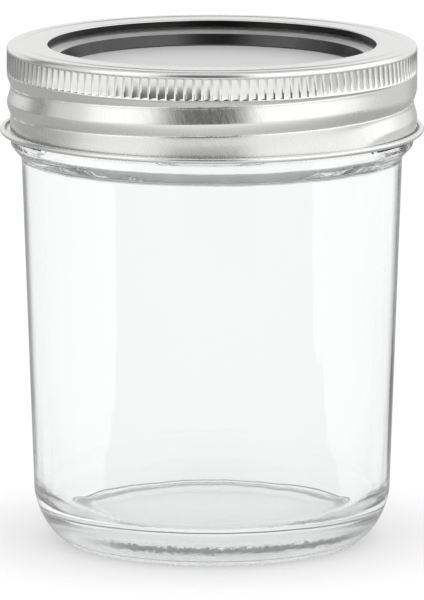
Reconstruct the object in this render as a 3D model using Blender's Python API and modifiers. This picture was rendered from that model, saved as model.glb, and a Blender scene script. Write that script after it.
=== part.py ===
"""Wide-mouth preserving jar with a two-piece screw closure: a pressed glass jar, a tinplate lid
with its sealing ring, and a tinplate screw band with a knurled shoulder and a rolled thread.
Metres, +Z up, origin at the centre of the resting ring."""

import math

import bmesh
import bpy
from mathutils import Vector

# Clearances
FIT_GAP = 0.0003  # between neighbouring pieces
THREAD_CLEARANCE = 0.00035  # glass thread's crest to the band's plain wall
BEAD_CLEARANCE = 0.0007  # band's bead to the root of the glass thread
THREAD_LEAD = 0.00145  # glass thread's crest above the band's bead, along the axis
PANEL_CLEARANCE = 0.0030  # lid's sunk panel to the bore
COLLAR_CLEARANCE = 0.00045  # band's foot down to the transfer ring

# Screw thread shared by the jar and the band
THREAD_PITCH = 0.00508
FINISH_RADIUS = 0.0343  # at the root of the glass thread
GLASS_THREAD_HEIGHT = 0.0011
GLASS_THREAD_WIDTH = 0.0023
GLASS_THREAD_START_DEG = -225.0
GLASS_THREAD_END_DEG = 190.0
GLASS_THREAD_FADE_DEG = 20.0

# Glass jar
GLASS_HEIGHT = 0.08605
BODY_FOOT_RADIUS = 0.0315
BODY_TOP_RADIUS = 0.0335
GLASS_WALL = 0.0025
FLOOR_HEIGHT = 0.0045
FLOOR_CORNER = 0.0070
HEEL_RISE = 0.0090
HEEL_REACH = 0.0046
REST_WIDTH = 0.0013
PUSH_UP = 0.0013
PUSH_UP_EDGE = 0.0009
COLLAR_PROUD = 0.0007  # the transfer ring, from the thread's root out
COLLAR_SHOULDER = 0.0005
COLLAR_BAND = 0.0010
COLLAR_CURVE_HEIGHT = 0.0031
FINISH_WALL = 0.0044
BORE_BLEND_HEIGHT = 0.0060
LIP_STEP_REACH = 0.0007
LIP_STEP_HEIGHT = 0.0006
LIP_ROUND = 0.0008

# Tinplate lid
LID_SHEET = 0.00025
LID_EDGE_DROP = 0.00075
LID_EDGE_ROUND = 0.0004
RIM_STEP_REACH = 0.0005
RIM_STEP_DROP = 0.0009
RAMP_DROP = 0.0008
PANEL_WALL_DROP = 0.0020
PANEL_WALL_LEAN = 0.0002
PANEL_CORNER = 0.0004

# Sealing ring under the lid's rim
SEAL_HEIGHT = 0.0007
SEAL_SETBACK = 0.0003  # from the glass lip's outer edge
SEAL_ROUND = 0.0002

# Tinplate screw band
BAND_SHEET = 0.0003
HEM_OVERHANG = 0.0018  # from the lid's rim inward, over its ramp
HEM_DROP = 0.0010
HEM_ROUND = 0.0005
GROOVE_INSET = 0.00265  # from the skirt to the ring pressed in the flat top
GROOVE_HALF_WIDTH = 0.0004
GROOVE_DEPTH = 0.00015
BAND_CORNER = 0.00085
KNURL_COUNT = 144
KNURL_MARGIN_ABOVE = 0.00015
KNURL_HEIGHT = 0.0039
KNURL_MARGIN_BELOW = 0.0003
KNURL_RIDGE_WIDTH = 0.00039  # also the width of each pocket's steep side
KNURL_DEPTH = 0.00022
BEAD_ABOVE = 0.0010
BEAD_BELOW = 0.0024
BEAD_RUN_OUT_DROP = 0.00065  # plain wall between the shoulder and the bead's upper end
BEAD_FOOT = 0.00255  # bead's lower end down to the band's foot
BEAD_START_DEG = -225.0
BEAD_END_DEG = 285.0
BEAD_FADE_DEG = 40.0
CURL_RADIUS = 0.0005
CURL_REACH = 0.0012  # from the skirt to the curl's outermost point
CURL_END_DEG = 50.0  # how far the raw edge rolls down again towards the skirt

# Facets
KNURLS_PER_COLUMN = 3
ROUND_COLUMNS = KNURL_COUNT // KNURLS_PER_COLUMN
WELD_DISTANCE = 0.000001

# Radii that follow from the glass finish, out to the band and in to the lid's panel
COLLAR_RADIUS = FINISH_RADIUS + COLLAR_PROUD
LIP_RADIUS = FINISH_RADIUS - LIP_STEP_REACH
BORE_RADIUS = FINISH_RADIUS - FINISH_WALL
BAND_RADIUS = FINISH_RADIUS + GLASS_THREAD_HEIGHT + THREAD_CLEARANCE + BAND_SHEET
BEAD_DEPTH = GLASS_THREAD_HEIGHT + THREAD_CLEARANCE - BEAD_CLEARANCE
LID_RADIUS = BAND_RADIUS - BAND_SHEET - BEAD_DEPTH - BEAD_CLEARANCE
SEAL_INNER_RADIUS = BORE_RADIUS + LIP_ROUND
SEAL_OUTER_RADIUS = LIP_RADIUS - SEAL_SETBACK
RIM_INNER_RADIUS = SEAL_INNER_RADIUS
PANEL_RADIUS = BORE_RADIUS - PANEL_CLEARANCE
OPENING_RADIUS = RIM_INNER_RADIUS - HEM_OVERHANG
GROOVE_RADIUS = BAND_RADIUS - GROOVE_INSET

# Drops from the band's top, from its corner down to the curl under its last turn of thread
KNURL_TOP_DROP = BAND_CORNER + KNURL_MARGIN_ABOVE
SHOULDER_DROP = KNURL_TOP_DROP + KNURL_HEIGHT + KNURL_MARGIN_BELOW
BEAD_END_DROP = SHOULDER_DROP + BEAD_RUN_OUT_DROP
BEAD_DROP_AT_X = BEAD_END_DROP + THREAD_PITCH * BEAD_END_DEG / 360.0
BEAD_START_DROP = BEAD_DROP_AT_X - THREAD_PITCH * BEAD_START_DEG / 360.0
BAND_HEIGHT = BEAD_START_DROP + BEAD_FOOT

# Heights that follow from the stack of glass, seal, lid and band
SEAL_BOTTOM = GLASS_HEIGHT + FIT_GAP
LID_RIM_TOP = SEAL_BOTTOM + SEAL_HEIGHT + FIT_GAP + LID_SHEET
BAND_TOP = LID_RIM_TOP + FIT_GAP + BAND_SHEET
COLLAR_TOP = BAND_TOP - BAND_HEIGHT - COLLAR_CLEARANCE

# Shares of a bead's depth and of its width above and below the valley
BEAD_ABOVE_SHARES = ((1.0, 0.0), (0.38, 0.72), (0.0, 1.0))
BEAD_BELOW_SHARES = ((0.2, 0.85), (0.58, 0.35), (1.0, 0.0))
RIDGE_SHARES = ((-1.0, 0.0), (-0.68, 0.62), (-0.3, 1.0), (0.3, 1.0), (0.68, 0.62), (1.0, 0.0))


def clear_scene():
    for obj in list(bpy.data.objects):
        bpy.data.objects.remove(obj, do_unlink=True)


def new_collection(name):
    collection = bpy.data.collections.new(name)
    bpy.context.scene.collection.children.link(collection)
    return collection


def principled(name, colour, metallic, roughness, transmission=0.0):
    material = bpy.data.materials.new(name)
    material.use_nodes = True
    shader = material.node_tree.nodes["Principled BSDF"]
    shader.inputs["Base Color"].default_value = (*colour, 1.0)
    shader.inputs["Metallic"].default_value = metallic
    shader.inputs["Roughness"].default_value = roughness
    shader.inputs["Transmission Weight"].default_value = transmission
    return material


def add_object(name, mesh, material, collection):
    obj = bpy.data.objects.new(name, mesh)
    mesh.materials.append(material)
    mesh.shade_smooth()
    mesh.set_sharp_from_angle(angle=math.radians(35.0))
    collection.objects.link(obj)
    return obj


def finish_mesh(bm, name):
    bmesh.ops.remove_doubles(bm, verts=bm.verts, dist=WELD_DISTANCE)
    mesh = bpy.data.meshes.new(name)
    bm.to_mesh(mesh)
    bm.free()
    return mesh


def arc(centre, reach, rise, start_deg, end_deg, steps):
    """Points (radius, height) along an elliptical arc, both ends included."""
    angles = [
        math.radians(start_deg + (end_deg - start_deg) * i / steps)
        for i in range(steps + 1)
    ]
    return [(centre[0] + reach * math.cos(a), centre[1] + rise * math.sin(a)) for a in angles]


def polar(radius, angle, height):
    return Vector((radius * math.cos(angle), radius * math.sin(angle), height))


def new_ring(bm, radius, height, count):
    return [bm.verts.new(polar(radius, math.tau * i / count, height)) for i in range(count)]


def stitch(bm, upper, lower):
    """Walls the space between two rings. One may have some whole times the points of the other."""
    count = min(len(upper), len(lower))
    for i in range(count):
        left = ring_run(upper, i, count)
        right = ring_run(lower, i, count)
        bm.faces.new([left[0], *right, *reversed(left[1:])])


def ring_run(ring, index, count):
    """The ring's points over one of count equal columns."""
    per_column = len(ring) // count
    first = index * per_column
    return [ring[(first + i) % len(ring)] for i in range(per_column + 1)]


def turned_wall(bm, points, count):
    """Rings through a profile, walled one to the next. Returns the first and the last ring."""
    rings = [new_ring(bm, radius, height, count) for radius, height in points]
    for upper, lower in zip(rings, rings[1:]):
        stitch(bm, upper, lower)
    return rings[0], rings[-1]


def close_upwards(bm, ring, height):
    """A fan from a ring to a point on the axis, facing up."""
    centre = bm.verts.new((0.0, 0.0, height))
    for i, vert in enumerate(ring):
        bm.faces.new([centre, vert, ring[(i + 1) % len(ring)]])


def close_downwards(bm, ring, height):
    """A fan from a ring to a point on the axis, facing down."""
    centre = bm.verts.new((0.0, 0.0, height))
    for i, vert in enumerate(ring):
        bm.faces.new([centre, ring[(i + 1) % len(ring)], vert])


def eased(share):
    """A smooth start and stop between 0 and 1."""
    share = min(1.0, max(0.0, share))
    return share * share * (3.0 - 2.0 * share)


def threaded_wall(bm, top, bottom, section, height_at_x, start_deg, end_deg, fade_deg):
    """The wall between two rings, with a right-hand helical bead or ridge in it.

    section lists (height from the helix, radius) down the thread's cross-section. Its first and
    last points lie on the plain wall. The thread closes to a point at its start and at its end."""
    count = len(top)
    first = round(start_deg / 360.0 * count)
    last = round(end_deg / 360.0 * count)
    fade = fade_deg / 360.0 * count
    plain_radius = section[0][1]

    def thread_points(column):
        angle = math.tau * column / count
        height = height_at_x + THREAD_PITCH * column / count
        share = eased(min(column - first, last - column) / fade)
        if share == 0.0:
            return [bm.verts.new(polar(plain_radius, angle, height))] * len(section)
        return [
            bm.verts.new(
                polar(plain_radius + (radius - plain_radius) * share, angle, height + rise * share)
            )
            for rise, radius in section
        ]

    thread = {column: thread_points(column) for column in range(first, last + 1)}

    def face(*corners):
        kept = [v for i, v in enumerate(corners) if v is not corners[i - 1]]
        bm.faces.new(kept)

    for column in range(first, last):
        here, beyond = thread[column], thread[column + 1]
        for i in range(len(section) - 1):
            face(here[i], here[i + 1], beyond[i + 1], beyond[i])
        above_here = thread.get(column + count)
        above_beyond = thread.get(column + 1 + count)
        top_here, top_beyond = top[column % count], top[(column + 1) % count]
        if above_beyond:
            face(above_here[-1], here[0], beyond[0], above_beyond[-1])
        elif above_here:
            face(top_here, above_here[-1], here[0], beyond[0], top_beyond)
        else:
            face(top_here, here[0], beyond[0], top_beyond)
        if column - count >= first:
            continue
        bottom_here, bottom_beyond = bottom[column % count], bottom[(column + 1) % count]
        if column + 1 - count == first:
            face(here[-1], bottom_here, bottom_beyond, thread[first][0], beyond[-1])
        else:
            face(here[-1], bottom_here, bottom_beyond, beyond[-1])


def bead_section(plain_radius):
    """The band's rolled bead, pressed inward: a short flank above its valley, a long one below."""
    above = [(BEAD_ABOVE * up, plain_radius - BEAD_DEPTH * deep) for up, deep in BEAD_ABOVE_SHARES]
    below = [
        (-BEAD_BELOW * down, plain_radius - BEAD_DEPTH * deep) for down, deep in BEAD_BELOW_SHARES
    ]
    return above + below


def ridge_section():
    """The glass thread, which stands out from the finish with equal flanks."""
    half = GLASS_THREAD_WIDTH / 2
    return [
        (-half * across, FINISH_RADIUS + GLASS_THREAD_HEIGHT * out) for across, out in RIDGE_SHARES
    ]


def inner_wall_radius(height):
    """The jar's inside follows its outside, one wall's thickness in."""
    share = (height - HEEL_RISE) / (collar_foot_height() - HEEL_RISE)
    return BODY_FOOT_RADIUS + (BODY_TOP_RADIUS - BODY_FOOT_RADIUS) * share - GLASS_WALL


def collar_foot_height():
    """Where the transfer ring's curve meets the body."""
    return COLLAR_TOP - COLLAR_SHOULDER - COLLAR_BAND - COLLAR_CURVE_HEIGHT


def jar_inside():
    """From the floor's flat up the inside wall and over the lip to the top of the finish."""
    corner_top = FLOOR_HEIGHT + FLOOR_CORNER
    corner_radius = inner_wall_radius(corner_top)
    floor_radius = corner_radius - FLOOR_CORNER
    shoulder = collar_foot_height()
    points = arc((floor_radius, corner_top), FLOOR_CORNER, FLOOR_CORNER, -90.0, 0.0, 5)
    points += [(inner_wall_radius(shoulder), shoulder), (BORE_RADIUS, shoulder + BORE_BLEND_HEIGHT)]
    lip_height = GLASS_HEIGHT - LIP_ROUND
    points += arc((BORE_RADIUS + LIP_ROUND, lip_height), LIP_ROUND, LIP_ROUND, 180.0, 90.0, 3)
    points += arc((LIP_RADIUS - LIP_ROUND, lip_height), LIP_ROUND, LIP_ROUND, 90.0, 0.0, 3)
    points += [(FINISH_RADIUS, lip_height - LIP_STEP_HEIGHT)]
    return points


def jar_outside():
    """From the finish's foot over the transfer ring, down the body and round the heel."""
    ring_top = COLLAR_TOP - COLLAR_SHOULDER
    curve_top = ring_top - COLLAR_BAND
    reach = COLLAR_RADIUS - BODY_TOP_RADIUS
    points = [(FINISH_RADIUS, COLLAR_TOP), (COLLAR_RADIUS, ring_top)]
    points += arc((BODY_TOP_RADIUS, curve_top), reach, COLLAR_CURVE_HEIGHT, 0.0, -90.0, 4)
    rest_outer = BODY_FOOT_RADIUS - HEEL_REACH
    points += arc((rest_outer, HEEL_RISE), HEEL_REACH, HEEL_RISE, 0.0, -90.0, 6)
    rest_inner = rest_outer - REST_WIDTH
    points += [(rest_inner, 0.0), (rest_inner - PUSH_UP_EDGE, PUSH_UP / 2)]
    return points


def make_glass_jar(collection):
    """Pressed soda-lime glass: the finish carries the outer half of the screw thread."""
    bm = bmesh.new()
    floor_ring, finish_top = turned_wall(bm, jar_inside(), ROUND_COLUMNS)
    close_upwards(bm, floor_ring, FLOOR_HEIGHT)
    finish_foot, push_up_ring = turned_wall(bm, jar_outside(), ROUND_COLUMNS)
    close_downwards(bm, push_up_ring, PUSH_UP)
    threaded_wall(
        bm,
        finish_top,
        finish_foot,
        ridge_section(),
        BAND_TOP - BEAD_DROP_AT_X + THREAD_LEAD,
        GLASS_THREAD_START_DEG,
        GLASS_THREAD_END_DEG,
        GLASS_THREAD_FADE_DEG,
    )
    glass = principled("soda_lime_glass", (0.95, 0.97, 0.96), 0.0, 0.02, 1.0)
    return add_object("glass_jar", finish_mesh(bm, "glass_jar"), glass, collection)


def profile_object(name, points, closed, material, collection):
    """A profile in the XZ plane, turned about the Z axis by a Screw modifier."""
    mesh = bpy.data.meshes.new(name)
    edges = [(i, i + 1) for i in range(len(points) - 1)]
    if closed:
        edges.append((len(points) - 1, 0))
    mesh.from_pydata([(radius, 0.0, height) for radius, height in points], edges, [])
    obj = add_object(name, mesh, material, collection)
    screw = obj.modifiers.new("turn", "SCREW")
    screw.axis = "Z"
    screw.steps = screw.render_steps = ROUND_COLUMNS
    screw.use_merge_vertices = True
    screw.merge_threshold = WELD_DISTANCE
    return obj


def lid_profile():
    """The lid's upper side, from the middle of the sunk panel out to the turned-down edge."""
    panel_height = LID_RIM_TOP - RIM_STEP_DROP - RAMP_DROP - PANEL_WALL_DROP
    wall_foot = PANEL_RADIUS - PANEL_WALL_LEAN
    corner = (wall_foot - PANEL_CORNER, panel_height + PANEL_CORNER)
    points = [(0.0, panel_height)]
    points += arc(corner, PANEL_CORNER, PANEL_CORNER, -90.0, 0.0, 2)
    points += [(PANEL_RADIUS, LID_RIM_TOP - RIM_STEP_DROP - RAMP_DROP)]
    points += [(RIM_INNER_RADIUS - RIM_STEP_REACH, LID_RIM_TOP - RIM_STEP_DROP)]
    points += [(RIM_INNER_RADIUS, LID_RIM_TOP)]
    edge = (LID_RADIUS - LID_EDGE_ROUND, LID_RIM_TOP - LID_EDGE_ROUND)
    points += arc(edge, LID_EDGE_ROUND, LID_EDGE_ROUND, 90.0, 0.0, 2)
    points += [(LID_RADIUS, LID_RIM_TOP - LID_EDGE_DROP)]
    return points


def make_lid_disc(collection):
    """Flat tinplate disc with a sunk centre panel, a raised rim and a turned-down edge."""
    tinplate = principled("lid_tinplate", (0.78, 0.78, 0.78), 1.0, 0.32)
    lid = profile_object("lid_disc", lid_profile(), False, tinplate, collection)
    sheet = lid.modifiers.new("sheet", "SOLIDIFY")
    sheet.thickness = LID_SHEET
    sheet.offset = -1.0
    sheet.use_even_offset = True
    return lid


def make_sealing_ring(collection):
    """Plastisol ring flowed in under the lid's rim, which seals on the glass."""
    low, high = SEAL_BOTTOM + SEAL_ROUND, SEAL_BOTTOM + SEAL_HEIGHT - SEAL_ROUND
    inner, outer = SEAL_INNER_RADIUS + SEAL_ROUND, SEAL_OUTER_RADIUS - SEAL_ROUND
    points = [
        (inner, high + SEAL_ROUND),
        (outer, high + SEAL_ROUND),
        (outer + SEAL_ROUND, high),
        (outer + SEAL_ROUND, low),
        (outer, low - SEAL_ROUND),
        (inner, low - SEAL_ROUND),
        (inner - SEAL_ROUND, low),
        (inner - SEAL_ROUND, high),
    ]
    plastisol = principled("plastisol", (0.62, 0.60, 0.57), 0.0, 0.55)
    return profile_object("sealing_ring", points, True, plastisol, collection)


def band_top_profile():
    """From the hem round the opening over the flat top and down its outer corner."""
    hem_bottom = BAND_TOP - HEM_DROP
    hem = (OPENING_RADIUS + HEM_ROUND, BAND_TOP - HEM_ROUND)
    points = [(OPENING_RADIUS, hem_bottom)]
    points += arc(hem, HEM_ROUND, HEM_ROUND, 180.0, 90.0, 2)
    points += [
        (GROOVE_RADIUS - GROOVE_HALF_WIDTH, BAND_TOP),
        (GROOVE_RADIUS, BAND_TOP - GROOVE_DEPTH),
        (GROOVE_RADIUS + GROOVE_HALF_WIDTH, BAND_TOP),
    ]
    corner = (BAND_RADIUS - BAND_CORNER, BAND_TOP - BAND_CORNER)
    points += arc(corner, BAND_CORNER, BAND_CORNER, 90.0, 0.0, 2)
    return points


def curl_profile():
    """The skirt's foot, rolled outward and up until its raw edge points back at the skirt.

    The skirt's outer side becomes the hollow side of the curl, one sheet inside its radius."""
    centre_radius = BAND_RADIUS + CURL_REACH - CURL_RADIUS
    centre = (centre_radius, BAND_TOP - BAND_HEIGHT + CURL_RADIUS)
    hollow = CURL_RADIUS - BAND_SHEET
    points = arc(centre, centre_radius - BAND_RADIUS, hollow, 180.0, 270.0, 2)
    points += arc(centre, hollow, hollow, 315.0, 360.0 + 90.0 + CURL_END_DEG, 4)
    return points


def knurl_shoulder(bm):
    """The shoulder's upright wall, with one pocket pressed in between each two ridges.

    A pocket's floor runs in from its ridge, counter-clockwise seen from above, to a steep side."""
    height = BAND_TOP - KNURL_TOP_DROP
    upper = new_ring(bm, BAND_RADIUS, height, KNURL_COUNT)
    lower = new_ring(bm, BAND_RADIUS, height - KNURL_HEIGHT, KNURL_COUNT)
    before = set(bm.faces)
    stitch(bm, upper, lower)
    walls = [face for face in bm.faces if face not in before]
    for face in walls:
        face.normal_update()
    bmesh.ops.inset_individual(bm, faces=walls, thickness=KNURL_RIDGE_WIDTH, use_even_offset=True)
    for floor in walls:
        press_deep_side(floor)
    return upper, lower


def press_deep_side(floor):
    """Moves a pocket floor's counter-clockwise side towards the axis."""
    middle = floor.calc_center_median()
    for vert in floor.verts:
        if middle.cross(vert.co).z > 0.0:
            vert.co.xy *= 1.0 - KNURL_DEPTH / vert.co.xy.length


def make_screw_band(collection):
    """Tinplate band: hemmed opening, knurled shoulder, rolled thread and curled foot."""
    bm = bmesh.new()
    _, corner_foot = turned_wall(bm, band_top_profile(), ROUND_COLUMNS)
    knurl_top, knurl_foot = knurl_shoulder(bm)
    stitch(bm, corner_foot, knurl_top)
    shoulder = new_ring(bm, BAND_RADIUS, BAND_TOP - SHOULDER_DROP, ROUND_COLUMNS)
    stitch(bm, knurl_foot, shoulder)
    skirt_foot, _ = turned_wall(bm, curl_profile(), ROUND_COLUMNS)
    threaded_wall(
        bm,
        shoulder,
        skirt_foot,
        bead_section(BAND_RADIUS),
        BAND_TOP - BEAD_DROP_AT_X,
        BEAD_START_DEG,
        BEAD_END_DEG,
        BEAD_FADE_DEG,
    )
    tinplate = principled("band_tinplate", (0.80, 0.80, 0.80), 1.0, 0.30)
    band = add_object("screw_band", finish_mesh(bm, "screw_band"), tinplate, collection)
    sheet = band.modifiers.new("sheet", "SOLIDIFY")
    sheet.thickness = BAND_SHEET
    sheet.offset = -1.0
    sheet.use_even_offset = True
    return band


def main():
    clear_scene()
    jar = new_collection("wide_mouth_jar")
    make_glass_jar(jar)
    make_lid_disc(jar)
    make_sealing_ring(jar)
    make_screw_band(jar)


main()
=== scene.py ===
"""Wide-mouth preserving jar with a two-piece screw closure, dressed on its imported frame.

The jar, the lid, its sealing ring and the screw band are modelled finely over the frame's four
nodes, and ride on the same bodies. Metres, +Z up, origin at the centre of the resting ring."""

import math
from collections import namedtuple

import bmesh
import bpy
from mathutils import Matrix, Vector


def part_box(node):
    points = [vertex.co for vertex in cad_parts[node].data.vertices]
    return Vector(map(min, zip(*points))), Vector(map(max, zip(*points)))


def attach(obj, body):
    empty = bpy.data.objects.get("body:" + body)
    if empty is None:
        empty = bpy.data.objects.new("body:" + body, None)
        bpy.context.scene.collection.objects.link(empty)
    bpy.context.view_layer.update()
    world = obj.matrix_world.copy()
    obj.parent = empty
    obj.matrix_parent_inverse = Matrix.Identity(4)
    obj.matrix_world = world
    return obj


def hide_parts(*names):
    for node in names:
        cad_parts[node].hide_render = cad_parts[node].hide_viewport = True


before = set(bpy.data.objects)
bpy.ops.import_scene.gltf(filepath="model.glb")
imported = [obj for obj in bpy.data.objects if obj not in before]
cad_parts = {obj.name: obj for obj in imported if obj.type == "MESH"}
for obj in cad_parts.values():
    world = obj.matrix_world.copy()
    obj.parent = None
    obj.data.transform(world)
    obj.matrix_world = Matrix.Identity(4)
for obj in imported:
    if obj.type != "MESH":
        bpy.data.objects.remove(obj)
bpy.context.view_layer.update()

bl_info = {
    "name": "Preserving Jar",
    "version": (1, 0, 0),
    "blender": (4, 5, 0),
    "location": "View3D > Sidebar > Jar",
    "description": "A pressed glass jar with a stamped lid and a knurled screw band",
    "category": "Add Mesh",
}

MM = 0.001
GLASS_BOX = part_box("glass_jar")
LID_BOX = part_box("lid_disc")
SEAL_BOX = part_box("sealing_ring")
BAND_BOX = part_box("screw_band")
BAND_COLUMNS = 144  # one for each knurl
GLASS_COLUMNS = 220  # two for each notch of the resting ring
MERGE_DISTANCE = 0.001 * MM
NEAR = 0.01 * MM  # how near a vert lies to the wall or ring that it belongs to
FACE_MARGIN = 0.1 * MM  # how near a face lies to the form that it belongs to
TALL_SHARE = 0.9  # of a wall's height: only edges that run all the way down it are longer
SMOOTH_ANGLE = math.radians(50.0)
LIGHT_BOUNCES = 32  # light runs along inside the glass wall and leaves it after many reflections

# A bead that climbs counter-clockwise round the axis: its height on the +X side, its rise in one
# turn, where it ends, over how many degrees it fades at its ends, the widths of its flanks above
# and below, and how much wider the lower flank of its first turn is
Helix = namedtuple("Helix", "height_at_x pitch end_deg fade_deg above below first_spread")
WHOLE_TURNS = (-2, -1, 0, 1)  # by which a place's own angle may be along the bead
THREAD_START_DEG = -225.0
BEAD_DROP = 9.8717 * MM  # from the band's top down to the bead's valley on the +X side
BEAD_END_DEG = 340.0
BEAD_FADE_DEG = 55.0
FIRST_TURN_END_DEG = -30.0
FIRST_TURN_FADE_DEG = 45.0
FIRST_TURN_SPREAD = 3.2
FLANK_HOLLOW = 1.6  # above 1, the band's flank over the valley is hollow and not straight
# The other flanks' section: a soft end at the plain wall, and a valley rounded by these shares
CREST_SOFTNESS = 0.006
VALLEY_DEPTH_SHARE = 0.12
VALLEY_WIDTH_SHARE = 0.12
RIDGE_LIFT = 1.45 * MM  # of the glass thread over the valley of the bead, which hooks under it
RIDGE_END_DEG = 190.0
RIDGE_FADE_DEG = 20.0
THREAD_ROWS = 63  # cuts across the finish's plain wall, for the thread to rise from
BEAD_ROWS = 99

# The glass's small sizes, from the lip down to the push-up and in to the floor. Those of the
# collar, which is the transfer ring, are heights down from its top, and roundings.
LIP_STEP = 0.7 * MM
LIP_ROUND = 0.8 * MM
LIP_DEPTH = 1.4 * MM
SHOULDER_FOOT = 3.5 * MM  # from the body's top up to where the inside draws in to the bore
SHOULDER_TOP = 6.5 * MM
SHOULDER_ROUND = 3.0 * MM
COLLAR_GAP = 0.25 * MM  # from the band's foot down to the transfer ring
COLLAR_SLOPE = 0.5 * MM
COLLAR_EDGE_MIDDLE = 1.2 * MM
COLLAR_EDGE_FOOT = 1.9 * MM
COLLAR_HOLLOW_FOOT = 4.0 * MM
COLLAR_FOOT = 4.6 * MM  # where the body's top is
COLLAR_TOP_ROUND = 0.25 * MM
COLLAR_EDGE_ROUND = 1.2 * MM
COLLAR_HOLLOW_ROUND = 2.0 * MM
HEEL_DRAW = 1.3  # above 1, the heel's curve is flatter than an ellipse
HEEL_STEP_DEG = 6
REST_WIDTH = 1.3 * MM
REST_INSET = 0.3 * MM  # of the resting ring's outer edge from the heel's foot
NOTCH_DEPTH = 0.22 * MM
NOTCH_MARGIN = 0.1 * MM
PUSH_UP_SLOPE = 0.9 * MM  # this and the next two are widths inside the resting ring
PUSH_UP_CORNER = 3.5 * MM
PUSH_UP_FLAT = 8.0 * MM
PUSH_UP_ROUND = 4.0 * MM
PUSH_UP_FACING = 0.2  # how far down a face of the push-up looks, at least
FLOOR_FLAT = 1.0 * MM  # from the floor's corner in to its plain middle
# The seam's band, whose rough glass is real and whose dark grey is painted shade
SEAM_WIDTH = 0.2 * MM
# The heel's band that carries the painted line of shade
HEEL_LINE_HEIGHT = 3.3 * MM
HEEL_LINE_REACH = 2.0 * MM  # above and below which the heel is plain glass

# The mould's ripple: where it starts from each form, over what length, and how much of it is left
RIPPLE_SPACING = 7.0 * MM
RIPPLE_MIDDLE_SHARE = 0.5  # of the clouds' range, which is the plain surface
RIPPLE_REST_FADE = 1.5 * MM
RIPPLE_BAND_FADE = 1.0 * MM
RIPPLE_COLLAR_REACH = 4.0 * MM
RIPPLE_COLLAR_FADE = 5.0 * MM
RIPPLE_HEEL_REACH = 4.0 * MM
RIPPLE_HEEL_FADE = 6.0 * MM
RIPPLE_FOOT_REACH = 7.0 * MM
RIPPLE_FOOT_FADE = 4.0 * MM
HEEL_RIPPLE_SHARE = 0.35
BODY_RIPPLE_SHARE = 0.12

# The closure's small sizes: the lid from its rim in to the panel, the sealing ring, and the band
# from its hem outward and down. A drop is a height under the piece's top.
RIM_INNER = 30.7 * MM  # radius of the lid's raised rim and of the sealing ring on their inner side
RIM_FLAT = 0.6 * MM
RIM_ROUND = 0.25 * MM
STEP_DROP = 0.9 * MM
STEP_WIDTH = 0.5 * MM
STEP_ROUND = 0.3 * MM
RAMP_DROP = 1.7 * MM
RAMP_ROUND = 0.15 * MM
PANEL_DROP = 3.7 * MM
PANEL_WALL_LEAN = 0.5 * MM
PANEL_ROUND = 0.4 * MM
PANEL_FLAT = 1.6 * MM
PANEL_MIDDLE = 6.0 * MM
LACQUER_MARGIN = 0.45 * MM  # from the panel's wall in to where its lacquer shows matt
LID_EDGE_ROUND = 0.4 * MM
LID_EDGE_DROP = 0.75 * MM
SEAL_START = 1.0 * MM
SEAL_CROWN = 0.05 * MM  # how far the ring's middle hangs below its sides
SEAL_TOP_ROUND = 0.15 * MM
SEAL_FOOT_ROUND = 0.25 * MM
SEAL_CROWN_ROUND = 0.6 * MM
HEM_DROP = 1.25 * MM
HEM_LEAN = 0.25 * MM
HEM_BULGE = 0.03 * MM
HEM_ROUND = 0.35 * MM
HEM_LIP = 0.2 * MM  # of the hem's upper edge, which is as bright as the top
GROOVE_INSET = 2.65 * MM  # of the pressed ring in the band's top from the band's side
GROOVE_REACH = 0.5 * MM
GROOVE_DEPTH = 0.17 * MM
GROOVE_EDGE_ROUND = 0.12 * MM
GROOVE_FLOOR_ROUND = 0.1 * MM
CORNER_ROUND = 0.85 * MM
KNURL_DROP = 1.0 * MM
KNURL_TILT = 0.29 * MM  # how much deeper a pocket is at its top
KNURL_BEVEL = 0.05 * MM
SHOULDER_STRIP = 0.05 * MM  # of plain wall between the knurl and the skirt's rows
SKIRT_FOOT = 0.6 * MM  # from the curl's foot up to the skirt's rows
BEAD_EASE = 0.3 * MM  # over which the bead sets in under the knurl
CURL_RADIUS = 0.5 * MM


def length_setting(name, description, millimetres):
    """A size that a user would change, given in millimetres."""
    return bpy.props.FloatProperty(
        name=name,
        description=description,
        default=millimetres * MM,
        precision=6,
        unit="LENGTH",
    )


def colour_setting(name, description, value):
    """A colour that a user would change."""
    return bpy.props.StringProperty(
        name=name,
        description=f"{description}, as an sRGB hex value",
        default=value,
    )


class JarGlassSizes(bpy.types.PropertyGroup):
    finish_radius: length_setting("Finish radius", "Radius at the root of the glass thread", 34.3)
    body_foot_radius: length_setting(
        "Body radius at the foot", "Outer radius where the heel begins", 31.5
    )
    body_top_radius: length_setting(
        "Body radius at the top", "Outer radius under the transfer ring", 33.5
    )
    wall: length_setting("Wall", "Thickness of the glass wall", 2.5)
    floor_height: length_setting(
        "Floor height", "Height of the inside floor over the resting ring", 4.5
    )
    floor_corner: length_setting(
        "Floor corner", "Radius between the inside floor and the wall", 7.0
    )
    heel_rise: length_setting("Heel rise", "Height of the rounded heel", 9.0)
    heel_reach: length_setting("Heel reach", "How far the heel draws in to the resting ring", 4.6)
    foot_step: length_setting(
        "Foot step", "Height of the small step between the resting ring and the heel", 0.8
    )
    push_up: length_setting("Push-up", "Height of the hollow under the floor", 1.3)
    bore_wall: length_setting("Finish wall", "From the bore out to the root of the thread", 4.4)
    thread_height: length_setting("Thread height", "How far the glass thread stands out", 1.1)
    thread_width: length_setting("Thread width", "Width of the glass thread along the axis", 2.3)
    ripple: length_setting(
        "Mould ripple", "How far the pressed surface wanders near the transfer ring and the heel", 0.12
    )


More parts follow.
